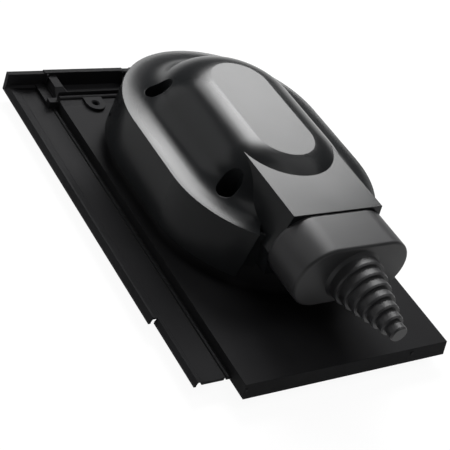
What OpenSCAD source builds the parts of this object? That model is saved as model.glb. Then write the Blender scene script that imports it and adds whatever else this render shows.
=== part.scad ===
// Flat interlocking roof tile with a domed hood that leads solar cables through the roof.
// Datum while drawing: middle of the tile's width, centre of the hood, underside of the tile.
// The finished part is moved so that its origin lies below the middle of its outline.

/* [Tile] */
// Overall width across the side interlock and the body
tile_w = 300; // [290:1:320]
// Overall length from the front's lower edge to the head
tile_l = 474; // [460:1:500]
// Height of the deck above the underside
deck_h = 15; // [14:0.5:18]
// Thickness of the moulded skin
skin = 3; // [2:0.25:3.5]
// How far the front face leans back over its height
front_rake = 4; // [0:0.5:6]
// Thickness of the front wall
front_wall = 4; // [3:0.5:6]
// Distance from the head to the middle of the hood
hood_from_head = 217; // [212:1:225]

/* [Side interlock] */
// Width of the interlock strip on the left
lock_w = 46; // [44:1:50]
// How far the strip's front end stands behind the front's lower edge
lock_setback = 24; // [10:1:60]
// Height of the two ribs of the strip
lock_rib_h = 8; // [7:0.5:9]
// Height of the water channel's floor
lock_floor_h = 4; // [3.5:0.25:5]
// Thickness of the strip's skin
lock_skin = 2.5; // [2:0.25:3]
// Width of the outer rib with its slopes
outer_rib_w = 16.5; // [15:0.5:18]
// Width of the inner rib
inner_rib_w = 6; // [5:0.5:7]
// Width of the narrow groove beside the body
groove_w = 3.5; // [3:0.25:5]
// How far the outer edge steps in at the front
lock_jog = 6; // [2:0.5:7]
// Distance from the front's lower edge to that step
lock_jog_reach = 105; // [80:1:130]
// Radius of the dished channel floor
dish_r = 60; // [50:1:120]
// Width of the chamfer on the strip's outer edge
lock_chamfer = 3; // [1:0.25:3.5]
// How far the ribs' flanks lean
lock_draft = 1; // [0.5:0.25:1.5]

/* [Cover strip on the right] */
// Thickness of the side walls and of the locking rib
side_wall = 3; // [2:0.25:4]
// Height of the cover strip's walls above the underside
cover_lift = 5; // [4.5:0.25:7]
// Distance from the right edge to the locking rib
cover_rib_inset = 22; // [18:1:26]
// Length cut off the cover strip at the head
cover_notch = 14; // [12:1:20]

/* [Head] */
// Height of the head wall
head_wall_h = 24; // [22:0.5:28]
// Thickness of the head wall
head_wall_t = 6; // [4:0.5:8]
// How much higher the wall is behind the basins
head_step = 1.2; // [0.5:0.1:2]
// Distance from the head to the back of the lip
lip_from_head = 41; // [38:1:45]
// Width of the rounded lip
lip_w = 6; // [5:0.5:8]
// Height of the lip
lip_h = 19.5; // [19:0.5:21]
// Height of the basins' floor
basin_floor_h = 6; // [5:0.5:8]
// Width of the web between the two basins
basin_web = 10; // [6:1:16]
// Radius of the basins' upright corners
basin_corner_r = 6; // [3:0.5:8]
// Rise of the deck where it meets the lip
field_rise = 1.5; // [0.5:0.25:2.5]
// Length of that rise
field_run = 8; // [5:1:12]
// Width of the raised ledge at the head of the channel
ledge_w = 5; // [3:0.5:7]
// Width of the widened inner rib at the head
shoulder_w = 11; // [10:0.5:14]
// Height of that shoulder above the underside
shoulder_h = 9; // [8:0.5:11]
// Height of the bridge between the shoulder and the lip
bridge_h = 14; // [12:0.5:16]
// Length of that bridge along the tile
bridge_l = 8; // [6:0.5:10]

/* [Stop block] */
// Width of the block's foot
block_foot_w = 25; // [22:1:30]
// Width of the block's top
block_top_w = 10; // [8:0.5:12]
// Length of the block's top from the head wall
block_top_l = 21; // [16:1:24]
// Height of the block
block_h = 20; // [18:0.5:21]
// How far its left flank leans
block_lean = 2; // [1:0.5:4]
// Height of its low nose above the basin's floor
block_nose_h = 3; // [1:0.5:6]

/* [Screw eyelet] */
// Distance from the middle of the tile's width
eyelet_x = 64; // [50:1:80]
// Reach of the bore's centre in front of the lip
eyelet_reach = 10; // [8:0.5:14]
// Outer radius
eyelet_r = 11.5; // [9:0.5:13]
// Radius of the bore
eyelet_bore_r = 3.5; // [2.5:0.25:4.5]
// Thickness of the eyelet's plate
eyelet_t = 4; // [3:0.5:4]
// How far that plate lies below the top of the lip
eyelet_drop = 1; // [0.5:0.25:1.5]
// How far the neck below the plate stands in
eyelet_neck = 1; // [0.5:0.25:2]
// Largest radius of the bore's countersink
eyelet_sink_r = 5; // [4.75:0.25:6]

/* [Hanging lugs] */
// Width of each lug
lug_w = 26; // [18:1:34]
// Thickness of each lug at its root
lug_t = 12; // [8:0.5:16]
// How much thinner a lug is at its foot
lug_taper = 4; // [1:0.5:5]
// How far the lugs reach below the tile
lug_drop = 12; // [8:0.5:16]
// Distance of each lug from the middle of the body
lug_x = 70; // [50:1:90]
// Distance from the head to the lugs' bearing face
lug_from_head = 34; // [30:1:36]

/* [Underside ribs] */
// Thickness of the ribs
rib_t = 2.5; // [2:0.25:3]
// Height of the ribs' lower edge above the underside
rib_lift = 4; // [2:0.5:6]
// Number of ribs along the tile
rib_count = 6; // [3:1:7]
// Distance from the front's lower edge to the cross rib
cross_rib_reach = 60; // [40:1:75]

/* [Collar] */
// Outer radius of the collar's round ends
collar_r = 108; // [104:0.5:110]
// Thickness of the collar's wall
collar_wall = 3; // [2:0.25:4]
// Height of the collar above the underside
collar_h = 46; // [40:0.5:47]
// Radius of the hollow round the collar's foot
collar_foot_r = 6; // [3:0.5:7]
// Radius of the cable passage's round ends
passage_r = 60; // [40:1:64]
// Depth of the rim round the passage below the deck
passage_rim = 5; // [2:0.5:7]
// Outer radius of the pillars
pillar_r = 8; // [7:0.5:9]
// Height of the pillars above the underside
pillar_h = 64; // [58:0.5:68]
// Radius of the pillars' pilot bores
pilot_r = 2; // [1.5:0.1:2.2]
// Depth of the pilot bores
pilot_depth = 30; // [26:1:40]
// Thickness of the four gussets on a pillar
gusset_t = 2; // [1.5:0.25:3]
// Reach of the gussets beyond the pillar at their foot
gusset_w = 6; // [3:0.5:7]
// Distance from the top of a pillar to the top of its gussets
gusset_drop = 12; // [6:1:24]

/* [Hood] */
// Length of the straight stretch between the round ends
oval_straight = 88; // [80:1:94]
// Outer radius of the dome at the rim
rim_r = 116.5; // [114:0.5:119]
// Height of the rim above the underside
rim_h = 86; // [82:0.5:90]
// Width of the small step round the rim
rim_ledge = 1.2; // [0.6:0.1:2]
// Outer radius of the skirt at its lower edge
skirt_r = 121.5; // [120:0.5:124]
// Height of the skirt's lower edge
skirt_foot_h = 31; // [28:0.5:36]
// Wall thickness of the hood
hood_wall = 3; // [2:0.25:3.5]
// Radius of the dome's rounded edge above the rim
rim_round = 18; // [14:0.5:20]
// Slope of the dome above the rim, in degrees
low_slope = 17; // [12:0.5:20]
// Slope of the dome below the flat top, in degrees
high_slope = 28; // [25:0.5:32]
// Radius of the hollow between the two slopes
hollow_r = 120; // [60:1:130]
// Radius of the round into the flat top
crown_round = 30; // [15:0.5:32]
// Radius of the flat top's round ends
crown_r = 33.5; // [30:0.5:36]
// Height of the dome above the rim
dome_h = 43; // [41:0.25:45]

/* [Cable box] */
// Distance from the middle of the hood to the box's front face
box_reach = 154; // [152:0.5:157]
// Height of the box's top above the underside
box_top_h = 121.5; // [119:0.5:122]
// Width of the box at its top
box_top_w = 110; // [104:0.5:114]
// Width of the box at its widest line
box_wide_w = 128; // [126:0.5:132]
// Height of that widest line
box_wide_h = 75; // [68:0.5:80]
// Width of the box at its bottom
box_foot_w = 119; // [112:0.5:122]
// Height of the box's bottom
box_foot_h = 48; // [47.5:0.25:50]
// Length of the box's bottom plate from its front face
box_floor_l = 30; // [20:1:40]
// Distance from the middle of the hood to the back end of the box's lower walls
box_back = 95; // [85:1:105]
// Half width of the gap in the skirt at the rim
skirt_gap_top = 72; // [70:0.5:76]
// Half width of that gap at the skirt's lower edge
skirt_gap_foot = 77; // [74:0.5:82]

/* [Screw pockets] */
// Distance of each screw from the centre of its round end
screw_reach = 84; // [80:0.5:86]
// Angle of each screw from the line across the hood
screw_turn = 24; // [20:0.5:30]
// Width of the oval pockets
pocket_w = 22; // [19:0.5:24]
// Straight stretch of the oval pockets
pocket_straight = 12; // [8:0.5:14]
// Height of the pockets' floor
pocket_floor_h = 74; // [72:0.5:80]
// Wall round the pockets
pocket_wall = 2.5; // [2:0.25:3]

/* [Cable boot] */
// Radius of the sleeve's round ends
sleeve_r = 36.5; // [35.5:0.25:37]
// Straight stretch between them
sleeve_straight = 62; // [56:0.5:64]
// Length of the sleeve
sleeve_l = 49; // [44:0.5:54]
// Height of the sleeve's middle above the underside
sleeve_h = 84; // [83:0.25:86]
// Wall thickness of the sleeve
sleeve_wall = 4.5; // [3.5:0.25:6]
// Length of the bead at the sleeve's back end
bead_l = 5; // [3:0.5:8]
// Height of that bead
bead_h = 1; // [0.5:0.25:1.5]
// Radius of the sleeve's front edge
sleeve_round = 3; // [1.5:0.25:4]
// Thickness of the sleeve's front plate
sleeve_front = 4; // [3:0.25:6]
// Gap between the spigot and the sleeve
boot_gap = 0.2; // [0.1:0.05:0.5]
// Wall thickness of the spigot
spigot_wall = 3; // [2:0.25:4]
// Length of the spigot
spigot_l = 32; // [20:1:38]
// Number of steps of the cone
step_count = 7; // [5:1:9]
// Length of the first step
first_step_l = 14; // [11:0.5:18]
// Length of each further step
step_l = 11; // [8:0.5:13]
// Radius of the first step
first_step_r = 28; // [24:0.5:30]
// Radius of the last step
last_step_r = 9; // [6:0.5:11]
// How far each step widens towards its front edge
step_flare = 1.2; // [0.5:0.1:2]
// Length of the slant behind each step's front edge
step_edge_l = 2; // [1:0.25:3]
// Width of the chamfer on that edge
step_edge_w = 0.8; // [0.4:0.1:1.2]
// Radius of the flared root of the cone
root_r = 31; // [30:0.5:33]
// Length of that flare
root_l = 3; // [2:0.25:5]
// Wall thickness of the cone
cone_wall = 2.4; // [1.8:0.1:3]
// Thickness of the closed tip
tip_t = 2.5; // [1.5:0.25:4]

/* [Fasteners] */
// Radius of the screws' shank
shank_r = 2; // [1.5:0.1:2.2]
// Length of the screws below their head
shank_l = 30; // [24:1:36]
// Radius of the screws' head
screw_head_r = 4.5; // [3.5:0.25:5]
// Height of the screws' head
screw_head_h = 3.2; // [2.5:0.1:4]
// Radius of the washers
washer_r = 6; // [5:0.25:7]
// Thickness of the washers
washer_t = 1.6; // [1:0.1:2.5]
// Gap between a screw's shank and the holes that it passes
shank_gap = 0.4; // [0.2:0.05:0.8]
// Radius of the screws' drive recess
drive_r = 2; // [1.5:0.1:2.5]
// Depth of that recess
drive_depth = 1.8; // [1:0.1:2.2]

/* [Hidden] */

tile_colour = "#232426";
hood_colour = "#2b2c2f";
boot_colour = "#4a4b4e";
steel_colour = "#c3c6ca";
washer_colour = "#1c1c1d";
eps = 0.01;
cut = 1;
round_fn = 96;
small_fn = 48;

left_x = -tile_w / 2;
right_x = tile_w / 2;
body_x = left_x + lock_w;
cover_x = right_x - lock_w;
hood_x = (body_x + right_x) / 2;
head_y = hood_from_head;
front_y = head_y - tile_l;
deck_front_y = front_y + front_rake;
lip_back_y = head_y - lip_from_head;
lip_y = lip_back_y - lip_w;
wall_y = head_y - head_wall_t;
cover_end_y = head_y - cover_notch;
lock_front_y = front_y + lock_setback;
deck_under_h = deck_h - skin;

cone_l = first_step_l + (step_count - 1) * step_l;
tip_y = -box_reach - sleeve_l - cone_l;
outline_mid_y = (head_y + min(front_y, tip_y)) / 2;

spigot_r = sleeve_r - sleeve_wall - boot_gap;
seat_h = pocket_floor_h + washer_t;
pocket_under_h = pocket_floor_h - hood_wall;

// Moves the finished part so that its origin lies below the middle of its outline
module seat() translate([0, -outline_mid_y, lug_drop]) children();

// Extrudes a section drawn in the upright plane along the tile from x0 to x1
module along_x(x0, x1) translate([x0, 0, 0]) rotate([90, 0, 90]) linear_extrude(x1 - x0) children();

// Extrudes a section drawn across the tile from y0 to y1
module along_y(y0, y1) translate([0, y1, 0]) rotate([90, 0, 0]) linear_extrude(y1 - y0) children();

// Sweeps a half section round an oval with two round ends and two straight sides
module oval_sweep(straight) {
    for (end = [0, 1])
        rotate([0, 0, 180 * end])
            translate([0, straight / 2, 0])
                rotate_extrude(angle = 180, $fn = round_fn)
                    children();
    rotate([90, 0, 0])
        linear_extrude(straight, center = true) {
            children();
            mirror([1, 0, 0]) children();
        }
}

// A solid oval between two heights
module oval_block(radius, straight, h0, h1)
    oval_sweep(straight) translate([0, h0]) square([radius, h1 - h0]);

// Puts its children at the four screws
module at_screw(side, end)
    translate([hood_x, end * oval_straight / 2, 0])
        rotate([0, 0, side > 0 ? end * screw_turn : 180 - end * screw_turn])
            translate([screw_reach, 0, 0])
                children();

module at_screws() for (side = [-1, 1], end = [-1, 1]) at_screw(side, end) children();

// Section along the body: front wall, deck, lip, basin and head wall in one skin
module body_section() {
    polygon([
        [front_y, 0],
        [deck_front_y, deck_h],
        [lip_y - field_run, deck_h],
        [lip_y, deck_h + field_rise],
        [lip_y, lip_h - lip_w / 2],
        [lip_back_y, lip_h - lip_w / 2],
        [lip_back_y, basin_floor_h],
        [wall_y, basin_floor_h],
        [wall_y, head_wall_h - head_step],
        [head_y, head_wall_h - head_step],
        [head_y, 0],
        [head_y - skin, 0],
        [head_y - skin, basin_floor_h - skin],
        [lip_y, basin_floor_h - skin],
        [lip_y, deck_under_h],
        [deck_front_y + front_wall, deck_under_h],
        [front_y + front_wall, 0]
    ]);
    translate([lip_y + lip_w / 2, lip_h - lip_w / 2]) circle(d = lip_w, $fn = small_fn);
}

// Section along the cover strip: the same skin, cut short of the neighbour's head wall
module cover_section() {
    intersection() {
        body_section();
        translate([front_y, 0]) square([lip_back_y - front_y, lip_h + cut]);
    }
    translate([lip_y, deck_under_h]) square([cover_end_y - lip_y, skin]);
}

// Section across the interlock strip for an outer edge at the given place
module lock_section(edge_x) {
    rib_in_x = left_x + outer_rib_w;
    rib2_x = body_x - groove_w - inner_rib_w;
    rib2_in_x = rib2_x + inner_rib_w - lock_skin + lock_draft;
    under_h = lock_rib_h - lock_skin;
    floor_under_h = lock_floor_h - lock_skin;
    difference() {
        polygon([
            [edge_x, 0],
            [edge_x, lock_rib_h - lock_chamfer - 2 * lock_draft],
            [edge_x + lock_chamfer, lock_rib_h],
            [rib_in_x - 2 * lock_draft, lock_rib_h],
            [rib_in_x, lock_floor_h + lock_draft],
            [rib2_x - lock_draft, lock_floor_h + lock_draft],
            [rib2_x, lock_rib_h],
            [rib2_x + inner_rib_w, lock_rib_h],
            [rib2_x + inner_rib_w, lock_floor_h],
            [body_x + eps, lock_floor_h],
            [body_x + eps, 0]
        ]);
        translate([(rib_in_x + rib2_x) / 2, lock_floor_h + dish_r]) circle(r = dish_r, $fn = 360);
        polygon([
            [edge_x + lock_skin, -cut],
            [edge_x + lock_skin, under_h - lock_chamfer],
            [edge_x + lock_skin + lock_draft, under_h],
            [rib_in_x - lock_skin - lock_draft, under_h],
            [rib_in_x - lock_skin, floor_under_h],
            [rib2_x + lock_skin - lock_draft, floor_under_h],
            [rib2_x + lock_skin, under_h],
            [rib2_in_x, under_h],
            [rib2_in_x, floor_under_h],
            [body_x - eps, floor_under_h],
            [body_x - eps, -cut]
        ]);
    }
}

module side_interlock() {
    jog_y = front_y + lock_jog_reach;
    along_y(jog_y, head_y) lock_section(left_x);
    along_y(lock_front_y, jog_y) lock_section(left_x + lock_jog);
    // Raised ledge at the head of the channel
    along_x(left_x + lock_skin, body_x) translate([wall_y - ledge_w, lock_floor_h - lock_skin])
        square([ledge_w + head_wall_t, lock_rib_h - lock_floor_h + lock_skin]);
    // Head wall behind the strip
    along_x(left_x, body_x + eps) translate([wall_y, 0]) square([head_wall_t, head_wall_h - head_step]);
    // Shoulder beside the stop block, and the bridge to the lip
    along_x(body_x - shoulder_w, body_x + eps) translate([lip_y, lock_floor_h - lock_skin])
        square([wall_y - lip_y + eps, shoulder_h - lock_floor_h + lock_skin]);
    along_x(body_x - shoulder_w, body_x + side_wall) translate([lip_y, lock_floor_h - lock_skin])
        square([bridge_l, bridge_h - lock_floor_h + lock_skin]);
}

// Wedge-shaped block in the corner of the left basin
module stop_block() {
    foot_x = body_x + eps;
    foot_y = lip_back_y - eps;
    foot_h = basin_floor_h - skin / 2;
    top_x = body_x + block_lean;
    intersection() {
        along_y(foot_y, wall_y + eps)
            polygon([
                [foot_x, foot_h], [foot_x, basin_floor_h], [top_x, block_h], [top_x + block_top_w, block_h],
                [foot_x + block_foot_w, basin_floor_h], [foot_x + block_foot_w, foot_h]
            ]);
        along_x(foot_x, foot_x + block_foot_w)
            polygon([
                [foot_y, foot_h], [foot_y, basin_floor_h + block_nose_h], [wall_y - block_top_l, block_h],
                [wall_y + eps, block_h], [wall_y + eps, foot_h]
            ]);
    }
}

// One basin with round upright corners, as the hollow that is cut
module basin_hollow(x0, x1) {
    r = basin_corner_r;
    translate([0, 0, basin_floor_h])
        linear_extrude(head_wall_h)
            union() {
                translate([x0, lip_back_y]) square([x1 - x0, wall_y - r - lip_back_y]);
                translate([x0 + r, lip_back_y]) square([x1 - x0 - 2 * r, wall_y - lip_back_y]);
                for (x = [x0 + r, x1 - r]) translate([x, wall_y - r]) circle(r = r, $fn = small_fn);
            }
}

// Head end of the body: solid land with two basins cut into it
module head_end() {
    basin_x0 = body_x;
    web_x0 = -basin_web / 2;
    web_x1 = basin_web / 2;
    basin_x1 = cover_x - 2 * side_wall;
    difference() {
        union() {
            along_x(body_x, cover_x) translate([lip_back_y - eps, 0])
                square([head_y - lip_back_y + eps, head_wall_h - head_step]);
            for (span = [[basin_x0 - 2, web_x0], [web_x1, basin_x1 + 2]])
                along_x(span[0], span[1]) translate([wall_y, 0]) square([head_wall_t, head_wall_h]);
        }
        basin_hollow(basin_x0, web_x0);
        basin_hollow(web_x1, basin_x1);
        // The web and the right end stand lower than the wall
        for (span = [[web_x0 - cut, web_x1 + cut], [basin_x1 - cut, cover_x + cut]])
            translate([span[0], lip_back_y - cut, deck_h + field_rise])
                cube([span[1] - span[0], wall_y - lip_back_y + cut, head_wall_h]);
        // Hollow underside
        translate([body_x + side_wall, lip_back_y - cut, -cut])
            cube([cover_x - body_x - 2 * side_wall, head_y - skin - lip_back_y + cut,
                basin_floor_h - skin + cut]);
    }
}

module screw_eyelet() {
    top_h = lip_h - eyelet_drop;
    neck_r = eyelet_r - eyelet_neck;
    translate([-eyelet_x, lip_y - eyelet_reach, top_h - eyelet_t]) {
        cylinder(r = eyelet_r, h = eyelet_t, $fn = small_fn);
        translate([-eyelet_r, 0, 0]) cube([2 * eyelet_r, eyelet_reach + lip_w / 2, eyelet_t]);
    }
    // Narrower neck that carries the eyelet's plate on the deck
    translate([-eyelet_x, lip_y - eyelet_reach, deck_under_h]) {
        cylinder(r = neck_r, h = top_h - deck_under_h - eps, $fn = small_fn);
        translate([-neck_r, 0, 0]) cube([2 * neck_r, eyelet_reach + lip_w / 4, top_h - deck_under_h - eps]);
    }
}

module eyelet_bore() {
    top_h = lip_h - eyelet_drop;
    sink_h = eyelet_sink_r - eyelet_bore_r;
    translate([-eyelet_x, lip_y - eyelet_reach, -cut])
        cylinder(r = eyelet_bore_r, h = lip_h + 2 * cut, $fn = small_fn);
    translate([-eyelet_x, lip_y - eyelet_reach, top_h - sink_h])
        cylinder(r1 = eyelet_bore_r, r2 = eyelet_sink_r + cut, h = sink_h + cut, $fn = small_fn);
}

// Lugs that hook behind the roof batten
module hanging_lugs() {
    lug_y = head_y - lug_from_head;
    root_h = basin_floor_h - skin / 2;
    for (side = [-1, 1])
        along_x(side * lug_x - lug_w / 2, side * lug_x + lug_w / 2)
            polygon([
                [lug_y, root_h], [lug_y, -lug_drop],
                [lug_y + lug_t - lug_taper, -lug_drop], [lug_y + lug_t, root_h]
            ]);
}

// Walls under the skin of the body and the cover strip
module walls_below() {
    translate([body_x, front_y + front_wall / 2, 0])
        cube([side_wall, head_y - front_y - front_wall / 2 - eps, deck_h - front_rake]);
    translate([body_x, deck_front_y, 0]) cube([side_wall, lip_y - deck_front_y, deck_h]);
    translate([cover_x - side_wall, front_y + front_wall / 2, 0])
        cube([side_wall, head_y - front_y - front_wall / 2 - eps, deck_under_h + eps]);
    translate([right_x - side_wall, deck_front_y, cover_lift])
        cube([side_wall, cover_end_y - deck_front_y, deck_h - cover_lift]);
    translate([right_x - cover_rib_inset - side_wall, deck_front_y, cover_lift])
        cube([side_wall, cover_end_y - deck_front_y - ledge_w, deck_under_h - cover_lift + eps]);
}

// Stiffening ribs under the deck, cut back from the cable passage
module ribs_below() {
    run_x = cover_x - body_x - 2 * side_wall;
    h = deck_under_h - rib_lift + eps;
    difference() {
        union() {
            for (k = [1 : rib_count])
                translate([body_x + side_wall + k * run_x / (rib_count + 1) - rib_t / 2, front_y + front_wall,
                    rib_lift])
                    cube([rib_t, lip_y - front_y - front_wall, h]);
            translate([body_x + side_wall - eps, front_y + cross_rib_reach, rib_lift])
                cube([run_x + 2 * eps, rib_t, h]);
        }
        translate([hood_x, 0, 0]) oval_block(passage_r + skin / 2, oval_straight, -cut, deck_h);
    }
    translate([hood_x, 0, 0])
        oval_sweep(oval_straight)
            translate([passage_r, deck_under_h - passage_rim]) square([skin, passage_rim + eps]);
}

// Upstand that keeps water out of the passage, with a hollow round its foot
module collar() {
    outer = collar_r;
    foot = collar_foot_r;
    translate([hood_x, 0, 0])
        oval_sweep(oval_straight)
            difference() {
                union() {
                    translate([outer - collar_wall, deck_under_h]) square([collar_wall, collar_h - deck_under_h]);
                    translate([outer - eps, deck_under_h]) square([foot + eps, deck_h + foot - deck_under_h]);
                }
                translate([outer + foot, deck_h + foot]) circle(r = foot, $fn = small_fn);
                translate([outer + foot, deck_h]) square([foot, 2 * foot]);
            }
}

module pillars() {
    at_screws()
        difference() {
            union() {
                translate([0, 0, deck_under_h])
                    cylinder(r = pillar_r, h = pillar_h - deck_under_h, $fn = small_fn);
                for (turn = [0, 90])
                    rotate([0, 0, turn])
                        along_y(-gusset_t / 2, gusset_t / 2)
                            polygon([
                                [-pillar_r - gusset_w, deck_under_h], [pillar_r + gusset_w, deck_under_h],
                                [pillar_r - gusset_t / 2, pillar_h - gusset_drop],
                                [gusset_t / 2 - pillar_r, pillar_h - gusset_drop]
                            ]);
            }
            translate([0, 0, pillar_h - pilot_depth]) cylinder(r = pilot_r, h = pilot_depth + cut, $fn = small_fn);
        }
}

module base_tile()
    color(tile_colour)
        seat()
            difference() {
                union() {
                    along_x(body_x, cover_x + eps) body_section();
                    along_x(cover_x, right_x) cover_section();
                    side_interlock();
                    head_end();
                    stop_block();
                    screw_eyelet();
                    walls_below();
                    ribs_below();
                    hanging_lugs();
                    collar();
                    pillars();
                }
                eyelet_bore();
                translate([hood_x, 0, 0]) oval_block(passage_r, oval_straight, -cut, deck_h + cut);
            }

// Run of the dome's section from the rim inwards: distance from the centre line, height and slope
arc_steps = 6;
rim_slope = 80;
round_in = rim_round * (sin(rim_slope) - sin(low_slope));
round_up = rim_round * (cos(low_slope) - cos(rim_slope));
hollow_in = hollow_r * (sin(high_slope) - sin(low_slope));
hollow_up = hollow_r * (cos(low_slope) - cos(high_slope));
crown_in = crown_round * sin(high_slope);
crown_up = crown_round * (1 - cos(high_slope));
run_in = rim_r - crown_r - round_in - hollow_in - crown_in;
run_up = dome_h - round_up - hollow_up - crown_up;
high_in = (run_up - run_in * tan(low_slope)) / (tan(high_slope) - tan(low_slope));
low_in = run_in - high_in;
low_end = [rim_r - round_in - low_in, rim_h + round_up + low_in * tan(low_slope)];
high_end = [crown_r + crown_in, rim_h + dome_h - crown_up];

function rim_point(a) = [
    rim_r - rim_round * (sin(rim_slope) - sin(a)),
    rim_h + rim_round * (cos(a) - cos(rim_slope)), a];
function hollow_point(a) = [
    low_end.x - hollow_r * (sin(a) - sin(low_slope)),
    low_end.y + hollow_r * (cos(low_slope) - cos(a)), a];
function crown_point(a) = [
    crown_r + crown_round * sin(a),
    rim_h + dome_h - crown_round * (1 - cos(a)), a];

dome_run = concat(
    [for (k = [0 : arc_steps]) rim_point(rim_slope + (low_slope - rim_slope) * k / arc_steps)],
    [for (k = [0 : arc_steps]) hollow_point(low_slope + (high_slope - low_slope) * k / arc_steps)],
    [for (k = [0 : arc_steps]) crown_point(high_slope * (1 - k / arc_steps))]);

// Half section of the dome's mass, its surface set in by the given amount
module dome_section(inset, foot_h) {
    surface = [for (p = dome_run) [p.x - inset * sin(p.z), p.y - inset * cos(p.z)]];
    polygon(concat([[0, foot_h], [rim_r - inset, foot_h]], surface, [[0, rim_h + dome_h - inset]]));
}

// Outline of the cable box across the tile, set in by the given amount
module box_outline(inset) {
    wide = box_wide_w / 2 - inset;
    foot = box_foot_w / 2 - inset;
    top = box_top_w / 2 - inset;
    polygon([
        [-foot, box_foot_h + inset], [-wide, box_wide_h], [-top, box_top_h - inset],
        [top, box_top_h - inset], [wide, box_wide_h], [foot, box_foot_h + inset]
    ]);
}

// The cable box: its roof runs back into the dome, its lower walls end behind the collar
module box_block(inset) {
    along_y(-box_reach + inset, -box_back + inset) box_outline(inset);
    intersection() {
        along_y(-box_reach + inset, -oval_straight / 2) box_outline(inset);
        translate([-box_reach, -2 * box_reach, rim_h - inset]) cube([2 * box_reach, 2 * box_reach, dome_h + inset]);
    }
}

module skirt() {
    gap = [
        [-skirt_gap_foot, skirt_foot_h - cut], [-skirt_gap_top, rim_h + cut],
        [skirt_gap_top, rim_h + cut], [skirt_gap_foot, skirt_foot_h - cut]
    ];
    difference() {
        oval_sweep(oval_straight)
            polygon([
                [skirt_r - hood_wall, skirt_foot_h], [skirt_r, skirt_foot_h],
                [rim_r + rim_ledge, rim_h], [rim_r - hood_wall, rim_h + eps], [rim_r - hood_wall, rim_h - hood_wall]
            ]);
        along_y(-2 * box_reach, 0) polygon(gap);
    }
}

module pocket_outline(grow) {
    r = pocket_w / 2 + grow;
    for (end = [-1, 1]) translate([end * pocket_straight / 2, 0]) circle(r = r, $fn = small_fn);
    square([pocket_straight, 2 * r], center = true);
}

// Tube of each pocket with the boss that stands on its pillar
module pocket_tube() {
    translate([0, 0, pocket_under_h])
        linear_extrude(rim_h + dome_h - pocket_under_h) pocket_outline(pocket_wall);
    translate([0, 0, pillar_h]) cylinder(r = pillar_r, h = pocket_under_h - pillar_h + eps, $fn = small_fn);
}

module hood()
    color(hood_colour)
        seat()
            difference() {
                translate([hood_x, 0, 0]) union() {
                    difference() {
                        union() {
                            oval_sweep(oval_straight) dome_section(0, rim_h);
                            box_block(0);
                        }
                        oval_sweep(oval_straight) dome_section(hood_wall, rim_h - cut);
                        box_block(hood_wall);
                        along_y(-box_reach + box_floor_l, -box_back + cut)
                            translate([0, box_foot_h]) square([box_foot_w - 2 * hood_wall, 4 * hood_wall], center = true);
                        along_y(-2 * box_reach, -box_reach)
                            translate([-box_reach, 0]) square([2 * box_reach, 2 * rim_h]);
                    }
                    skirt();
                    intersection() {
                        translate([-hood_x, 0, 0]) at_screws() pocket_tube();
                        oval_sweep(oval_straight) dome_section(hood_wall / 2, pillar_h);
                    }
                    translate([0, -box_reach, sleeve_h]) spigot();
                }
                at_screws() {
                    translate([0, 0, pocket_floor_h]) linear_extrude(2 * dome_h + rim_h) pocket_outline(0);
                    translate([0, 0, pillar_h - cut])
                        cylinder(r = shank_r + shank_gap, h = pocket_floor_h - pillar_h + 2 * cut, $fn = small_fn);
                }
                translate([hood_x, -box_reach, sleeve_h]) spigot_bore();
            }

// Turns an oval drawn flat so that it lies across the tile and faces the front
module facing_front() rotate([90, 0, 0]) rotate([0, 0, 90]) children();

// Short oval tube on the box's front face
module spigot()
    facing_front()
        oval_sweep(sleeve_straight)
            translate([spigot_r - spigot_wall, -eps]) square([spigot_wall, spigot_l + eps]);

module spigot_bore()
    facing_front() oval_block(spigot_r - spigot_wall, sleeve_straight, -hood_wall - eps, spigot_l + cut);

function step_r(k) = first_step_r + (last_step_r - first_step_r) * k / (step_count - 1);
function step_front(k) = sleeve_l + first_step_l + k * step_l;

// Half section of the stepped cone, its outside set in by the given amount
module cone_section(inset, end_z) {
    steps = [
        for (k = [0 : step_count - 1])
            for (p = [
                [step_r(k) - step_flare, k == 0 ? sleeve_l + root_l : step_front(k - 1)],
                [step_r(k), step_front(k) - step_edge_l],
                [step_r(k) - step_edge_w, step_front(k)]
            ])
                [p.x - inset, min(p.y - inset, end_z)]
    ];
    back_z = sleeve_l - sleeve_front - cut;
    polygon(concat([[0, back_z], [root_r - inset, back_z], [root_r - inset, max(back_z, sleeve_l - inset)]],
        steps, [[0, end_z]]));
}

// Rubber boot: oval sleeve that grips the spigot, and a stepped cone to be cut to the cable
module cable_boot()
    color(boot_colour)
        seat()
            translate([hood_x, -box_reach, sleeve_h])
                facing_front()
                    difference() {
                        union() {
                            oval_sweep(sleeve_straight) {
                                square([sleeve_r, sleeve_l - sleeve_round]);
                                square([sleeve_r - sleeve_round, sleeve_l]);
                                translate([sleeve_r - sleeve_round, sleeve_l - sleeve_round])
                                    circle(r = sleeve_round, $fn = small_fn);
                                square([sleeve_r + bead_h, bead_l]);
                            }
                            rotate_extrude($fn = round_fn) cone_section(0, sleeve_l + cone_l);
                        }
                        oval_block(sleeve_r - sleeve_wall, sleeve_straight, -cut, sleeve_l - sleeve_front);
                        rotate_extrude($fn = round_fn) cone_section(cone_wall, sleeve_l + cone_l - tip_t);
                    }

module screw(side, end)
    color(steel_colour)
        seat()
            at_screw(side, end)
                translate([0, 0, seat_h])
                    difference() {
                        union() {
                            translate([0, 0, -shank_l]) cylinder(r = shank_r, h = shank_l + eps, $fn = small_fn);
                            cylinder(r = screw_head_r, h = screw_head_h / 2, $fn = small_fn);
                            translate([0, 0, screw_head_h / 2])
                                cylinder(r1 = screw_head_r, r2 = screw_head_r - screw_head_h / 3,
                                    h = screw_head_h / 2, $fn = small_fn);
                        }
                        translate([0, 0, screw_head_h - drive_depth])
                            cylinder(r = drive_r, h = 2 * drive_depth, $fn = 6);
                    }

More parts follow.
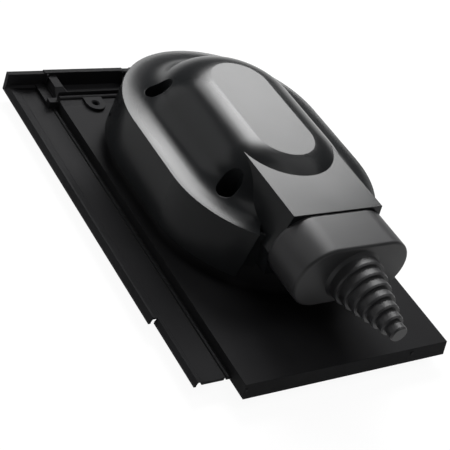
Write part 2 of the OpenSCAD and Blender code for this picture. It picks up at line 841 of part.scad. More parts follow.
module washer(side, end)
    color(washer_colour)
        seat()
            at_screw(side, end)
                translate([0, 0, pocket_floor_h])
                    difference() {
                        cylinder(r = washer_r, h = washer_t, $fn = small_fn);
                        translate([0, 0, -cut])
                            cylinder(r = shank_r + shank_gap, h = washer_t + 2 * cut, $fn = small_fn);
                    }

base_tile();
hood();
cable_boot();
screw(-1, -1);  // screw_front_left
screw(1, -1);  // screw_front_right
screw(-1, 1);  // screw_rear_left
screw(1, 1);  // screw_rear_right
washer(-1, -1);  // washer_front_left
washer(1, -1);  // washer_front_right
washer(-1, 1);  // washer_rear_left
washer(1, 1);  // washer_rear_right
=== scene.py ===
import math

import bmesh
import bpy
from mathutils import Euler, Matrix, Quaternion, Vector


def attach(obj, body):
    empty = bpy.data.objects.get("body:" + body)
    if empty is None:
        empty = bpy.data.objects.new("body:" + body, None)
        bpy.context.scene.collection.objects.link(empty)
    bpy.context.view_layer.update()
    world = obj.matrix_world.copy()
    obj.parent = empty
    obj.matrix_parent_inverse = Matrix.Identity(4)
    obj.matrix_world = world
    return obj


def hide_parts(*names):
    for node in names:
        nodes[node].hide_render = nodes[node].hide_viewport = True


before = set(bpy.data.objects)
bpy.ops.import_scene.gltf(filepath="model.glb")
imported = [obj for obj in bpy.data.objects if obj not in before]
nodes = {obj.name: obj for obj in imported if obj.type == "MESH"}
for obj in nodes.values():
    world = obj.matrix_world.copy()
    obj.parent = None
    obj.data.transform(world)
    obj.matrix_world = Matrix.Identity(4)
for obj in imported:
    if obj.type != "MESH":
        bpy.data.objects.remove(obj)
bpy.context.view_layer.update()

scene = bpy.context.scene
scene.view_settings.view_transform = "Standard"
print("frame loaded:", len(nodes), "nodes")


def toLinear(hexColour, alpha=1.0):
    # sRGB hex to the linear values that the nodes want
    parts = [int(hexColour[i:i + 2], 16) / 255 for i in (1, 3, 5)]
    return [p / 12.92 if p <= 0.04045 else ((p + 0.055) / 1.055) ** 2.4 for p in parts] + [alpha]


def addNode(tree, kind, values=None, links=None, **settings):
    # one node with its settings, its socket values and the sockets that feed it
    node = tree.nodes.new(kind)
    for name, value in settings.items():
        setattr(node, name, value)
    for name, value in (values or {}).items():
        node.inputs[name].default_value = value
    for name, source in (links or {}).items():
        tree.links.new(source, node.inputs[name])
    return node


def newMaterial(name):
    material = bpy.data.materials.new(name)
    material.use_nodes = True
    material.node_tree.nodes.clear()
    return material, material.node_tree


# the camera stands where the photo was taken from
cameraPlan = {
    "place": (-0.7009, -0.72104, 0.75107),      # metres, front left and above
    "turn": (51.3976, -18.5576, -30.2688),      # degrees; the photo leans to the right
    "lens": 93.79,
    "sensor": 36.0,
}


def makeCamera(plan):
    data = bpy.data.cameras.new("photoCamera")
    data.lens = plan["lens"]
    data.sensor_width = plan["sensor"]
    data.clip_end = 20
    camera = bpy.data.objects.new("photoCamera", data)
    camera.location = plan["place"]
    camera.rotation_euler = Euler([math.radians(a) for a in plan["turn"]])
    scene.collection.objects.link(camera)
    scene.camera = camera


makeCamera(cameraPlan)
print("camera stands")

# the pieces below are drawn in mm from the middle of the hood, at the level of the tile's underside
mm = 0.001
origin = Vector((23.0, 33.0, 12.0))


def upright(u, v, w):
    return (Vector((u, v, w)) + origin) * mm


def arcPoints(centre, radius, start, end, count):
    # points of an arc, angles in degrees from the upright, turning towards +r
    angles = [math.radians(start + (end - start) * i / count) for i in range(count + 1)]
    return [(centre[0] + radius * math.sin(a), centre[1] + radius * math.cos(a)) for a in angles]


def sweepOval(bm, profile, straight, steps=48, place=upright, loop=False):
    # sweeps (r, h) points round an oval with two round ends; loop joins the last point to the first;
    # place turns (across, along the straight, height) into space
    stations = []
    for end in (1, -1):
        for i in range(steps + 1):
            angle = math.pi * i / steps + (0 if end > 0 else math.pi)
            stations.append((end * straight / 2, math.cos(angle), math.sin(angle)))
    rings = [[bm.verts.new(place(r * dx, mid + r * dy, h)) for r, h in profile] for mid, dx, dy in stations]
    rows = len(profile) if loop else len(profile) - 1
    for i, ring in enumerate(rings):
        after = rings[(i + 1) % len(rings)]
        for j in range(rows):
            k = (j + 1) % len(profile)
            bm.faces.new((ring[j], after[j], after[k], ring[k]))


def addPrism(bm, outline, low, high, place):
    # a straight prism; place turns (outline point, position along) into space
    first = [bm.verts.new(place(p, low)) for p in outline]
    last = [bm.verts.new(place(p, high)) for p in outline]
    bm.faces.new(first)
    bm.faces.new(list(reversed(last)))
    for i in range(len(outline)):
        k = (i + 1) % len(outline)
        bm.faces.new((first[i], first[k], last[k], last[i]))


def makePiece(name, draw):
    # fills a mesh with draw(bm), closes its seams and turns its normals outward
    bm = bmesh.new()
    draw(bm)
    bmesh.ops.remove_doubles(bm, verts=bm.verts, dist=1e-6)
    bmesh.ops.recalc_face_normals(bm, faces=bm.faces)
    mesh = bpy.data.meshes.new(name)
    bm.to_mesh(mesh)
    bm.free()
    piece = bpy.data.objects.new(name, mesh)
    scene.collection.objects.link(piece)
    return piece


def combine(base, tool, how):
    # applies one boolean and keeps the plain mesh
    step = base.modifiers.new("step", "BOOLEAN")
    step.operation = how
    step.solver = "EXACT"
    step.object = tool
    graph = bpy.context.evaluated_depsgraph_get()
    mesh = bpy.data.meshes.new_from_object(base.evaluated_get(graph))
    base.modifiers.clear()
    base.data = mesh
    bpy.data.objects.remove(tool)


def smoothBy(piece, degrees):
    # shades smooth, with edges that turn more than this kept sharp
    piece.data.shade_smooth()
    piece.data.set_sharp_from_angle(angle=math.radians(degrees))


# tile: polypropylene moulded in a textured tool, which gives a flat black with only a faint wide sheen
tilePlastic = {
    "name": "mouldedPolypropyleneTextured",
    "colour": "#171718",
    "paleColour": "#1c1c1d",
    "roughness": 0.6,
    "ior": 1.49,
    "specular": 0.03,
    "grainMm": 0.9,         # spark-eroded tool texture, drawn coarser than the real 0.2 mm so that it shows
    "grainBump": 0.06,
    "patchMm": 60.0,        # slow cooling marks in the gloss
    "edgeRoundMm": 0.7,
}
# hood: polypropylene from a smoother tool, which mirrors a lamp as a soft bright band on its curves
hoodPlastic = {
    "name": "mouldedPolypropyleneSatin",
    "colour": "#101112",
    "paleColour": "#141516",
    "roughness": 0.22,
    "ior": 1.49,
    "specular": 0.1,
    "grainMm": 0.8,
    "grainBump": 0.03,
    "patchMm": 80.0,
    "edgeRoundMm": 0.8,
}
# boot: compression-moulded rubber, a shade greyer than the plastic, with blurred highlights
bootRubber = {
    "name": "mouldedRubberDull",
    "colour": "#1e1e1f",
    "paleColour": "#242425",
    "roughness": 0.44,
    "ior": 1.49,
    "specular": 0.22,
    "grainMm": 0.7,
    "grainBump": 0.05,
    "patchMm": 35.0,
    "edgeRoundMm": 0.6,
}
# washers: rubber punched from sheet, dull all over
washerRubber = {
    "name": "punchedSealingRubber",
    "colour": "#18181a",
    "paleColour": "#222224",
    "roughness": 0.6,
    "ior": 1.49,
    "specular": 0.3,
    "grainMm": 0.4,
    "grainBump": 0.1,
    "patchMm": 5.0,
    "edgeRoundMm": 0.2,
}
# screws: cold-formed stainless steel, bright with a slightly uneven gloss
screwSteel = {
    "name": "rolledStainlessSteel",
    "colour": "#b9bcc0",
    "paleColour": "#d4d6d9",
    "roughness": 0.26,
    "grainMm": 0.5,         # fine marks of the rolling dies
    "grainBump": 0.08,
    "edgeRoundMm": 0.2,
}


def makeMoulded(plan):
    # moulded plastic or rubber: even colour, fine tool grain, slow changes of gloss, edges a little round
    material, tree = newMaterial(plan["name"])
    place = addNode(tree, "ShaderNodeTexCoord")
    grain = addNode(tree, "ShaderNodeTexNoise", {"Scale": 1000 / plan["grainMm"], "Detail": 2.0},
                    {"Vector": place.outputs["Object"]})
    patch = addNode(tree, "ShaderNodeTexNoise", {"Scale": 1000 / plan["patchMm"], "Detail": 3.0},
                    {"Vector": place.outputs["Object"]})
    low, high = 0.3, 0.7        # noise seldom leaves this range
    tint = addNode(tree, "ShaderNodeValToRGB", links={"Fac": patch.outputs["Fac"]})
    tint.color_ramp.elements[0].position = low
    tint.color_ramp.elements[0].color = toLinear(plan["colour"])
    tint.color_ramp.elements[1].position = high
    tint.color_ramp.elements[1].color = toLinear(plan["paleColour"])
    gloss = addNode(tree, "ShaderNodeMapRange", {"From Min": low, "From Max": high,
                    "To Min": plan["roughness"] - 0.02, "To Max": plan["roughness"] + 0.03},
                    {"Value": patch.outputs["Fac"]})
    edge = addNode(tree, "ShaderNodeBevel", {"Radius": plan["edgeRoundMm"] / 1000}, samples=6)
    bump = addNode(tree, "ShaderNodeBump",
                   {"Strength": plan["grainBump"], "Distance": plan["grainMm"] / 4000},
                   {"Height": grain.outputs["Fac"], "Normal": edge.outputs["Normal"]})
    shader = addNode(tree, "ShaderNodeBsdfPrincipled",
                     {"IOR": plan["ior"], "Specular IOR Level": plan["specular"]},
                     {"Base Color": tint.outputs["Color"], "Roughness": gloss.outputs["Result"],
                      "Normal": bump.outputs["Normal"]})
    addNode(tree, "ShaderNodeOutputMaterial", links={"Surface": shader.outputs["BSDF"]})
    return material


def makeSteel(plan):
    # bright metal with fine marks that change its tint and gloss
    material, tree = newMaterial(plan["name"])
    place = addNode(tree, "ShaderNodeTexCoord")
    marks = addNode(tree, "ShaderNodeTexNoise", {"Scale": 1000 / plan["grainMm"], "Detail": 4.0},
                    {"Vector": place.outputs["Object"]})
    tint = addNode(tree, "ShaderNodeValToRGB", links={"Fac": marks.outputs["Fac"]})
    tint.color_ramp.elements[0].position = 0.35
    tint.color_ramp.elements[0].color = toLinear(plan["colour"])
    tint.color_ramp.elements[1].position = 0.65
    tint.color_ramp.elements[1].color = toLinear(plan["paleColour"])
    gloss = addNode(tree, "ShaderNodeMapRange", {"From Min": 0.3, "From Max": 0.7,
                    "To Min": plan["roughness"] - 0.06, "To Max": plan["roughness"] + 0.1},
                    {"Value": marks.outputs["Fac"]})
    edge = addNode(tree, "ShaderNodeBevel", {"Radius": plan["edgeRoundMm"] / 1000}, samples=4)
    bump = addNode(tree, "ShaderNodeBump",
                   {"Strength": plan["grainBump"], "Distance": plan["grainMm"] / 5000},
                   {"Height": marks.outputs["Fac"], "Normal": edge.outputs["Normal"]})
    shader = addNode(tree, "ShaderNodeBsdfPrincipled", {"Metallic": 1.0},
                     {"Base Color": tint.outputs["Color"], "Roughness": gloss.outputs["Result"],
                      "Normal": bump.outputs["Normal"]})
    addNode(tree, "ShaderNodeOutputMaterial", links={"Surface": shader.outputs["BSDF"]})
    return material


tileMaterial = makeMoulded(tilePlastic)
hoodMaterial = makeMoulded(hoodPlastic)
bootMaterial = makeMoulded(bootRubber)
washerMaterial = makeMoulded(washerRubber)
steelMaterial = makeSteel(screwSteel)

for name, node in nodes.items():
    material = {"base": tileMaterial, "hood": hoodMaterial, "cable": bootMaterial, "screw": steelMaterial,
                "washer": washerMaterial}[name.split("_")[0]]
    node.data.materials.clear()
    node.data.materials.append(material)
print("materials made")

# hood: a bell that flares into its rim, with the cable box run into its front and four oval screw pockets
hoodPlan = {
    # mm and degrees; R is a radius, H a height, L a length; slopes are read from the level
    "straight": 88.0,                           # length of the oval's sides between its round ends
    "rimR": 117.5, "rimH": 86.0, "topH": 129.0,
    "crownR": 33.5, "crownSlope": 7.0,          # where the flat top ends, with a slight crease
    "shoulderR": 64.0, "steepSlope": 54.0, "brimSlope": 13.0,
    "skirtR": 121.5, "skirtFootH": 31.0, "wall": 3.0,
    "gapTop": 70.0, "gapFoot": 77.0,            # half widths of the skirt's gap for the box
    "notchW": 60.5, "notchReach": 123.0, "notchRise": 13.0,
    "apronR": 110.0, "apronWall": 2.5, "apronFootH": 43.0, "apronIn": 60.0, "apronOut": 78.0,
    "boxReach": 154.0, "boxBack": 95.0,
    "boxOutline": ((59.5, 48.0), (64.0, 75.0), (55.0, 121.5)),      # half width and height: foot, widest, top
    "boxFloor": 30.0, "floorCut": 6.0,          # the box keeps this much floor behind its front
    "screwReach": 84.0, "screwTurn": 24.0, "pillarTopH": 64.0, "pillarR": 8.0, "screwHoleR": 2.4,
    "pocketR": 10.3, "pocketStraight": 4.0, "pocketInward": 2.0, "pocketFloorH": 74.0, "pocketWall": 2.5,
    "spigotR": 31.8, "spigotStraight": 62.0, "spigotL": 32.0, "spigotH": 84.0,
    "creaseAngle": 6.0,
    "clear": 1.0, "beyond": 240.0,              # how far cuts run on, and a reach that is past everything
}


def bellLine(plan, inset):
    # the surface from the middle outwards: flat top, round shoulder, hollow, and a brim that flattens
    top, rim, shoulder = plan["topH"], plan["rimH"], plan["shoulderR"]
    crown, steep, tilt = (math.radians(plan[key]) for key in ("crownSlope", "steepSlope", "brimSlope"))
    centre = (plan["crownR"] - shoulder * math.sin(crown), top - shoulder * math.cos(crown))
    turn = (centre[0] + shoulder * math.sin(steep), centre[1] + shoulder * math.cos(steep))
    lift = math.tan(tilt / 2)
    hollow = turn[1] - rim - (plan["rimR"] - turn[0]) * lift
    hollow /= math.cos(tilt) - math.cos(steep) - (math.sin(steep) - math.sin(tilt)) * lift
    foot = (turn[0] + hollow * math.sin(steep), turn[1] + hollow * math.cos(steep))
    brim = (plan["rimR"] - foot[0] + hollow * math.sin(tilt)) / math.sin(tilt)
    start = math.degrees(math.acos((top - inset - centre[1]) / (shoulder - inset)))
    line = [(0.0, top - inset)] + arcPoints(centre, shoulder - inset, start, plan["steepSlope"], count=24)
    level = 180 + plan["brimSlope"]
    line += arcPoints(foot, hollow + inset, 180 + plan["steepSlope"], level, count=16)[1:]
    return line + arcPoints((plan["rimR"], rim + brim), brim + inset, level, 180, count=6)[1:]


def boxSection(plan, inset, floor=None):
    # half the outline of the box, down to its foot or to a floor, and its mirror image
    (foot, footH), (wide, wideH), (top, topH) = plan["boxOutline"]
    half = [(top - inset, topH - inset)]
    if floor is None:
        half += [(wide - inset, wideH), (foot - inset, footH + inset)]
    else:
        half += [(wide + (top - wide) * (floor - wideH) / (topH - wideH) - inset, floor)]
    return half + [(-x, z) for x, z in reversed(half)]


def alongY(point, y):
    return upright(point[0], y, point[1])


def alongZ(point, z):
    return upright(point[0], point[1], z)


def facingFront(u, v, w):
    return upright(v, -hoodPlan["boxReach"] - w, u + hoodPlan["spigotH"])


def boxBlock(plan, inset):
    # the box's body, or its inside when inset by the wall: low in front of the collar, high over the bell
    reach, back, middle = -plan["boxReach"] + inset, -plan["boxBack"] + inset, -plan["straight"] / 2
    block = makePiece("boxLow", lambda bm: addPrism(bm, boxSection(plan, inset), reach, back, alongY))
    rest = makePiece("boxHigh", lambda bm: addPrism(bm, boxSection(plan, inset, plan["rimH"] - inset),
                                                    reach, middle, alongY))
    combine(block, rest, "UNION")
    return block


def atScrews(plan, profile, bm, straight=0.0, inward=0.0):
    # a round or oval form at each of the four screws, its length pointing to the middle of the dome's end
    turn = math.radians(plan["screwTurn"])
    reach = plan["screwReach"] - inward
    for side in (-1, 1):
        for end in (-1, 1):
            dx, dy = side * math.cos(turn), end * math.sin(turn)
            x, y = reach * dx, end * plan["straight"] / 2 + reach * dy
            sweepOval(bm, profile, straight, steps=40,
                      place=lambda u, v, w: upright(x + v * dx - u * dy, y + v * dy + u * dx, w))


def makeBell(plan):
    # the bell over a floor, notched beside the box
    wall, rim, straight = plan["wall"], plan["rimH"], plan["straight"]
    outer = bellLine(plan, 0) + [(plan["rimR"], rim - wall), (0.0, rim - wall)]
    bell = makePiece("hoodShell", lambda bm: sweepOval(bm, outer, straight))
    gapTop, beyond = plan["gapTop"], plan["beyond"]
    front = -straight / 2 - math.sqrt(plan["rimR"] ** 2 - gapTop ** 2)
    side = [(plan["notchW"], -plan["notchReach"]), (gapTop, front), (gapTop, -beyond)]
    notch = [(-x, y) for x, y in side] + list(reversed(side))
    low, high = rim - wall - plan["clear"], rim + plan["notchRise"]
    combine(bell, makePiece("notch", lambda bm: addPrism(bm, notch, low, high, alongZ)), "DIFFERENCE")
    return bell


def hollowOut(hood, plan):
    # bell and box become one shell, and the box gets its way down through the floor
    wall, clear = plan["wall"], plan["clear"]
    floor, thinnest = plan["rimH"] - wall, 0.3
    inner = [point for point in bellLine(plan, wall) if point[1] > floor + thinnest]
    inner = inner + [(inner[-1][0], floor - clear), (0.0, floor - clear)]
    combine(hood, makePiece("bellInside", lambda bm: sweepOval(bm, inner, plan["straight"])), "DIFFERENCE")
    combine(hood, boxBlock(plan, wall), "DIFFERENCE")
    half, height = plan["boxOutline"][0][0] - wall, plan["boxOutline"][0][1]
    low, high = height - plan["floorCut"], height + plan["floorCut"]
    opening = [(-half, low), (half, low), (half, high), (-half, high)]
    start, end = -plan["boxReach"] + plan["boxFloor"], -plan["boxBack"] + clear
    combine(hood, makePiece("floorCut", lambda bm: addPrism(bm, opening, start, end, alongY)), "DIFFERENCE")


def addSkirt(hood, plan):
    # an oval wall that leans out to its foot, open in front for the box
    wall, rim, rimR, clear = plan["wall"], plan["rimH"], plan["rimR"], plan["clear"]
    skirtR, foot, gapTop, gapFoot = plan["skirtR"], plan["skirtFootH"], plan["gapTop"], plan["gapFoot"]
    ring = [(skirtR - wall, foot), (skirtR, foot), (rimR, rim), (rimR - wall, rim - wall / 2)]
    skirt = makePiece("skirt", lambda bm: sweepOval(bm, ring, plan["straight"], loop=True))
    gap = [(-gapFoot, foot - clear), (-gapTop, rim + clear), (gapTop, rim + clear), (gapFoot, foot - clear)]
    combine(skirt, makePiece("gap", lambda bm: addPrism(bm, gap, -plan["beyond"], 0.0, alongY)), "DIFFERENCE")
    combine(hood, skirt, "UNION")


def addApron(hood, plan):
    # short walls under the brim that close the gaps beside the box
    low, high, top = plan["apronFootH"], plan["rimH"], plan["rimH"] - plan["wall"] / 2
    inR, outR = plan["apronR"], plan["apronR"] + plan["apronWall"]
    band = [(inR, low), (outR, low), (outR, top), (inR, top)]
    apron = makePiece("apron", lambda bm: sweepOval(bm, band, plan["straight"], loop=True))
    near, far, under = plan["apronIn"], plan["apronOut"], low - plan["clear"]
    slots = [[(a, under), (a, high), (b, high), (b, under)] for a, b in ((-far, -near), (near, far))]
    start, end = -plan["beyond"], -plan["boxBack"]
    kept = makePiece("slots", lambda bm: [addPrism(bm, slot, start, end, alongY) for slot in slots])
    combine(apron, kept, "INTERSECT")
    combine(hood, apron, "UNION")


def addPockets(hood, plan):
    # oval pockets, trimmed to the bell, with the bosses that stand on the tile's pillars
    wall, clear, floor, tall = plan["wall"], plan["clear"], plan["pocketFloorH"], plan["topH"] + plan["wall"]
    pocketR, tubeR, under = plan["pocketR"], plan["pocketR"] + plan["pocketWall"], floor - wall
    oval = {"straight": plan["pocketStraight"], "inward": plan["pocketInward"]}
    tube = [(0.0, under), (tubeR, under), (tubeR, tall), (0.0, tall)]
    middle = bellLine(plan, wall / 2)
    middle = middle + [(middle[-1][0], under - clear), (0.0, under - clear)]
    tubes = makePiece("tubes", lambda bm: atScrews(plan, tube, bm, **oval))
    combine(tubes, makePiece("bellMiddle", lambda bm: sweepOval(bm, middle, plan["straight"])), "INTERSECT")
    combine(hood, tubes, "UNION")
    seat, bossR, holeR = plan["pillarTopH"], plan["pillarR"], plan["screwHoleR"]
    boss = [(0.0, seat), (bossR, seat), (bossR, floor - clear), (0.0, floor - clear)]
    combine(hood, makePiece("bosses", lambda bm: atScrews(plan, boss, bm)), "UNION")
    pocket = [(0.0, floor), (pocketR, floor), (pocketR, tall), (0.0, tall)]
    combine(hood, makePiece("pockets", lambda bm: atScrews(plan, pocket, bm, **oval)), "DIFFERENCE")
    hole = [(0.0, seat - clear), (holeR, seat - clear), (holeR, floor + clear), (0.0, floor + clear)]
    combine(hood, makePiece("screwHoles", lambda bm: atScrews(plan, hole, bm)), "DIFFERENCE")


def addSpigot(hood, plan):
    # the oval tube on the box's front that the boot grips
    wall, clear, length = plan["wall"], plan["clear"], plan["spigotL"]
    out, bore = plan["spigotR"], plan["spigotR"] - wall
    tube = [(0.0, -wall / 2), (out, -wall / 2), (out, length), (0.0, length)]
    through = [(0.0, -wall - clear), (bore, -wall - clear), (bore, length + clear), (0.0, length + clear)]
    for name, profile, how in (("spigot", tube, "UNION"), ("spigotBore", through, "DIFFERENCE")):
        form = makePiece(name, lambda bm: sweepOval(bm, profile, plan["spigotStraight"], steps=32,
                                                    place=facingFront))
        combine(hood, form, how)


def makeHood(plan):
    hood = makeBell(plan)
    combine(hood, boxBlock(plan, 0), "UNION")
    hollowOut(hood, plan)
    addSkirt(hood, plan)
    addApron(hood, plan)
    addPockets(hood, plan)
    addSpigot(hood, plan)
    smoothBy(hood, plan["creaseAngle"])
    hood.data.materials.clear()
    hood.data.materials.append(hoodMaterial)
    return hood


hoodPiece = makeHood(hoodPlan)
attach(hoodPiece, "root")
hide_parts("hood")
print("hood made:", len(hoodPiece.data.polygons), "faces")

# rubber boot: oval sleeve over the spigot and a stepped cone that is cut off at the step that fits the cable
bootPlan = {
    # mm and degrees; R is a radius, L a length along the boot, W a width
    "sleeveR": 36.5, "straight": 62.0, "length": 49.0, "wall": 4.5, "front": 4.0, "round": 3.0,
    "leadL": 3.0, "leadW": 1.0,                 # chamfer at the sleeve's back end
    "steps": 7, "firstL": 14.0, "stepL": 11.0, "firstR": 28.0, "lastR": 9.0, "rootR": 31.0,
    "flare": 0.5, "edgeL": 2.0, "edgeW": 0.8,   # recess behind each step and the round of its front edge
    "coneWall": 2.4, "sinkOut": 1.0, "sinkIn": 3.0,     # how far the cone and its inside run into the sleeve
    "creaseAngle": 16.0, "clear": 1.0,
}


def makeConeTree():
    # the cone's rule: three rings a step, recess, edge and front, each step smaller than the one before
    tree = bpy.data.node_groups.new("steppedCone", "GeometryNodeTree")
    tree.interface.new_socket(name="Geometry", in_out="INPUT", socket_type="NodeSocketGeometry")
    names = {}
    kinds = {"Steps": "Int", "Centre": "Vector", "Material": "Material"}
    for name in ("Steps", "FirstRadius", "LastRadius", "RootRadius", "Flare", "EdgeWidth", "EdgeLength",
                 "FirstFront", "StepLength", "Start", "Centre", "Material"):
        kind = "NodeSocket" + kinds.get(name, "Float")
        names[name] = tree.interface.new_socket(name=name, in_out="INPUT", socket_type=kind).identifier
    tree.interface.new_socket(name="Geometry", in_out="OUTPUT", socket_type="NodeSocketGeometry")
    given = addNode(tree, "NodeGroupInput").outputs
    index = addNode(tree, "GeometryNodeInputIndex").outputs[0]
    count = addNode(tree, "ShaderNodeMath", {1: 3.0, 2: 1.0}, {0: given["Steps"]}, operation="MULTIPLY_ADD")
    last = addNode(tree, "ShaderNodeMath", {1: 1.0}, {0: given["Steps"]}, operation="SUBTRACT")
    place = addNode(tree, "ShaderNodeMath", {1: 1.0}, {0: index}, operation="SUBTRACT")
    third = addNode(tree, "ShaderNodeMath", {1: 3.0}, {0: place.outputs[0]}, operation="DIVIDE")
    step = addNode(tree, "ShaderNodeMath", links={0: third.outputs[0]}, operation="FLOOR")
    ring = addNode(tree, "ShaderNodeMath", {1: 3.0}, {0: place.outputs[0]}, operation="FLOORED_MODULO")
    recess = addNode(tree, "ShaderNodeMath", {1: 0.0, 2: 0.1}, {0: ring.outputs[0]}, operation="COMPARE")
    edge = addNode(tree, "ShaderNodeMath", {1: 1.0, 2: 0.1}, {0: ring.outputs[0]}, operation="COMPARE")
    front = addNode(tree, "ShaderNodeMath", {1: 2.0, 2: 0.1}, {0: ring.outputs[0]}, operation="COMPARE")
    root = addNode(tree, "ShaderNodeMath", {1: 0.5}, {0: index}, operation="LESS_THAN")
    # radius of each ring
    radius = addNode(tree, "ShaderNodeMapRange", {"From Min": 0.0},
                     {"Value": step.outputs[0], "From Max": last.outputs[0], "To Min": given["FirstRadius"],
                      "To Max": given["LastRadius"]}, clamp=False)
    hollow = addNode(tree, "ShaderNodeMath", links={0: recess.outputs[0], 1: given["Flare"]},
                     operation="MULTIPLY")
    radius = addNode(tree, "ShaderNodeMath", links={0: radius.outputs["Result"], 1: hollow.outputs[0]},
                     operation="SUBTRACT")
    bevel = addNode(tree, "ShaderNodeMath", links={0: front.outputs[0], 1: given["EdgeWidth"]},
                    operation="MULTIPLY")
    radius = addNode(tree, "ShaderNodeMath", links={0: radius.outputs[0], 1: bevel.outputs[0]},
                     operation="SUBTRACT")
    radius = addNode(tree, "GeometryNodeSwitch", links={"Switch": root.outputs[0], "False": radius.outputs[0],
                     "True": given["RootRadius"]}, input_type="FLOAT")
    # distance of each ring along the cone; a recess starts just clear of the step behind it
    along = addNode(tree, "ShaderNodeMath", links={0: step.outputs[0], 1: given["StepLength"],
                    2: given["FirstFront"]}, operation="MULTIPLY_ADD")
    short = addNode(tree, "ShaderNodeMath", {1: 0.05 * mm}, {0: given["StepLength"]}, operation="SUBTRACT")
    back = addNode(tree, "ShaderNodeMath", links={0: recess.outputs[0], 1: short.outputs[0]},
                   operation="MULTIPLY")
    along = addNode(tree, "ShaderNodeMath", links={0: along.outputs[0], 1: back.outputs[0]},
                    operation="SUBTRACT")
    back = addNode(tree, "ShaderNodeMath", links={0: edge.outputs[0], 1: given["EdgeLength"]},
                   operation="MULTIPLY")
    along = addNode(tree, "ShaderNodeMath", links={0: along.outputs[0], 1: back.outputs[0]},
                    operation="SUBTRACT")
    along = addNode(tree, "GeometryNodeSwitch", links={"Switch": root.outputs[0], "False": along.outputs[0],
                    "True": given["Start"]}, input_type="FLOAT")
    forward = addNode(tree, "ShaderNodeMath", {1: -1.0}, {0: along.outputs[0]}, operation="MULTIPLY")
    shift = addNode(tree, "ShaderNodeCombineXYZ", links={"Y": forward.outputs[0]})
    point = addNode(tree, "ShaderNodeVectorMath", links={0: given["Centre"], 1: shift.outputs[0]},
                    operation="ADD")
    line = addNode(tree, "GeometryNodeMeshLine", links={"Count": count.outputs[0]})
    line = addNode(tree, "GeometryNodeSetPosition",
                   links={"Geometry": line.outputs[0], "Position": point.outputs[0]})
    path = addNode(tree, "GeometryNodeMeshToCurve", links={"Mesh": line.outputs[0]})
    circle = addNode(tree, "GeometryNodeCurvePrimitiveCircle", {"Resolution": 96, "Radius": 1.0})
    skin = addNode(tree, "GeometryNodeCurveToMesh", {"Fill Caps": True}, {"Curve": path.outputs[0],
                   "Profile Curve": circle.outputs["Curve"], "Scale": radius.outputs[0]})
    solid = addNode(tree, "GeometryNodeRealizeInstances", links={"Geometry": skin.outputs[0]})
    solid = addNode(tree, "GeometryNodeSetMaterial",
                    links={"Geometry": solid.outputs[0], "Material": given["Material"]})
    addNode(tree, "NodeGroupOutput", links={"Geometry": solid.outputs[0]})
    return tree, names


def makeCone(plan, tree, names, inset):
    base = plan["length"] - inset
    values = {
        "Steps": plan["steps"], "FirstRadius": plan["firstR"] - inset, "LastRadius": plan["lastR"] - inset,
        "RootRadius": plan["rootR"] - inset, "Flare": plan["flare"], "EdgeWidth": plan["edgeW"],
        "EdgeLength": plan["edgeL"], "FirstFront": base + plan["firstL"], "StepLength": plan["stepL"],
        "Start": base - (plan["sinkIn"] if inset else plan["sinkOut"]),
    }
    cone = makePiece("cone", lambda bm: None)
    rule = cone.modifiers.new("rule", "NODES")
    rule.node_group = tree
    for name, value in values.items():
        rule[names[name]] = value if name == "Steps" else value * mm
    rule[names["Centre"]] = facingFront(0, 0, 0)
    rule[names["Material"]] = bootMaterial
    mesh = bpy.data.meshes.new_from_object(cone.evaluated_get(bpy.context.evaluated_depsgraph_get()))
    cone.modifiers.clear()
    bm = bmesh.new()
    bm.from_mesh(mesh)
    bmesh.ops.recalc_face_normals(bm, faces=bm.faces)
    bm.to_mesh(mesh)
    bm.free()
    cone.data = mesh
    return cone


def makeBoot(plan):
    r, length, bend, straight = plan["sleeveR"], plan["length"], plan["round"], plan["straight"]
    outer = [(0.0, 0.0), (r - plan["leadW"], 0.0), (r, plan["leadL"])]
    outer += arcPoints((r - bend, length - bend), bend, 90, 0, count=8) + [(0.0, length)]
    inR, deep, start = r - plan["wall"], length - plan["front"], -plan["clear"]
    inner = [(0.0, start), (inR, start), (inR, deep), (0.0, deep)]
    boot = makePiece("bootRubber", lambda bm: sweepOval(bm, outer, straight, place=facingFront))
    tree, names = makeConeTree()
    combine(boot, makeCone(plan, tree, names, 0), "UNION")
    inside = makePiece("bootInside", lambda bm: sweepOval(bm, inner, straight, place=facingFront))
    combine(boot, inside, "DIFFERENCE")
    combine(boot, makeCone(plan, tree, names, plan["coneWall"]), "DIFFERENCE")
    smoothBy(boot, plan["creaseAngle"])
    boot.data.materials.clear()
    boot.data.materials.append(bootMaterial)
    return boot


bootPiece = makeBoot(bootPlan)
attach(bootPiece, "root")
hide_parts("cable_boot")
print("boot made:", len(bootPiece.data.polygons), "faces")

# floor, world and lamps
stagePlan = {
    "floorSize": 6.0,
    "floorColour": "#f4f4f4",
    "whiteShare": 0.94,     # the rest is paper, which keeps the shadow
    "horizon": 1.0,         # the room is white beyond the floor and dim above it
    "zenith": 0.14,
    "fadeRise": 0.15,       # sine of the height at which the white has gone
    "aim": (0.02, 0.0, 0.12),
    "softboxes": {
        # name: (degrees right of the view up the tile, degrees up, roll, metres away, width, height, watts)
        "backRight": (29, 41.3, 40, 1.8, 1.52, 0.72, 50),
        "backHigh": (26, 47, 40, 1.9, 0.66, 0.42, 20),
        "overRight": (85, 58, 0, 2.0, 1.2, 1.2, 10),
        "left": (-40, 30, 0, 2.0, 1.5, 1.3, 14),
        "top": (170, 74, 0, 2.2, 1.5, 1.5, 14),
    },
}


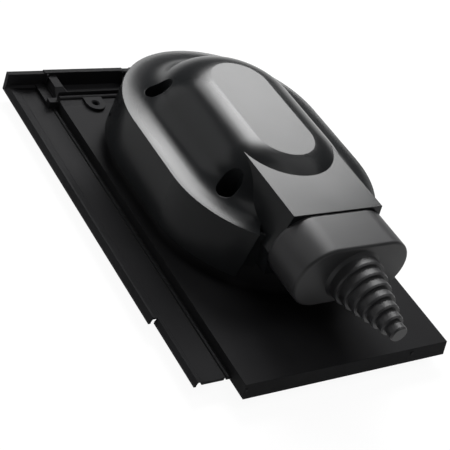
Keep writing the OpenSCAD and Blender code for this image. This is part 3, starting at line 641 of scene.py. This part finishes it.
def makeStage(plan):
    half = plan["floorSize"] / 2
    mesh = bpy.data.meshes.new("paperFloor")
    corners = [(-half, -half, 0), (half, -half, 0), (half, half, 0), (-half, half, 0)]
    mesh.from_pydata(corners, [], [(0, 1, 2, 3)])
    floor = bpy.data.objects.new("paperFloor", mesh)
    scene.collection.objects.link(floor)
    material, tree = newMaterial("whitePaper")
    rays = addNode(tree, "ShaderNodeLightPath")
    seen = addNode(tree, "ShaderNodeMath",
                   links={0: rays.outputs["Is Camera Ray"], 1: rays.outputs["Is Glossy Ray"]},
                   operation="MAXIMUM")
    seen = addNode(tree, "ShaderNodeMath", links={0: seen.outputs[0], 1: rays.outputs["Is Transmission Ray"]},
                   operation="MAXIMUM")
    share = addNode(tree, "ShaderNodeMath", {1: plan["whiteShare"]}, {0: seen.outputs[0]},
                    operation="MULTIPLY")
    paper = addNode(tree, "ShaderNodeBsdfDiffuse", {"Color": toLinear(plan["floorColour"])})
    white = addNode(tree, "ShaderNodeEmission", {"Strength": 1.0})
    mix = addNode(tree, "ShaderNodeMixShader",
                  links={0: share.outputs[0], 1: paper.outputs[0], 2: white.outputs[0]})
    addNode(tree, "ShaderNodeOutputMaterial", links={"Surface": mix.outputs[0]})
    mesh.materials.append(material)

    world = bpy.data.worlds.new("whiteRoom")
    scene.world = world
    world.use_nodes = True
    tree = world.node_tree
    tree.nodes.clear()
    place = addNode(tree, "ShaderNodeTexCoord")
    axes = addNode(tree, "ShaderNodeSeparateXYZ", links={"Vector": place.outputs["Generated"]})
    height = addNode(tree, "ShaderNodeMapRange", {"From Min": 0.0, "From Max": plan["fadeRise"],
                     "To Min": plan["horizon"], "To Max": plan["zenith"]}, {"Value": axes.outputs["Z"]})
    room = addNode(tree, "ShaderNodeBackground", {"Color": (1.0, 1.0, 1.0, 1.0)},
                   {"Strength": height.outputs["Result"]})
    addNode(tree, "ShaderNodeOutputWorld", links={"Surface": room.outputs[0]})

    for name, (turn, rise, roll, away, width, height, watts) in plan["softboxes"].items():
        turn, rise, roll = math.radians(turn), math.radians(rise), math.radians(roll)
        way = Vector((math.sin(turn) * math.cos(rise), math.cos(turn) * math.cos(rise), math.sin(rise)))
        data = bpy.data.lights.new(name, "AREA")
        data.shape = "RECTANGLE"
        data.size, data.size_y = width, height
        data.energy = watts
        lamp = bpy.data.objects.new(name, data)
        lamp.location = Vector(plan["aim"]) + way * away
        lamp.rotation_euler = (way.to_track_quat("Z", "Y") @ Quaternion((0, 0, 1), roll)).to_euler()
        scene.collection.objects.link(lamp)


makeStage(stagePlan)
print("floor, world and lamps made")
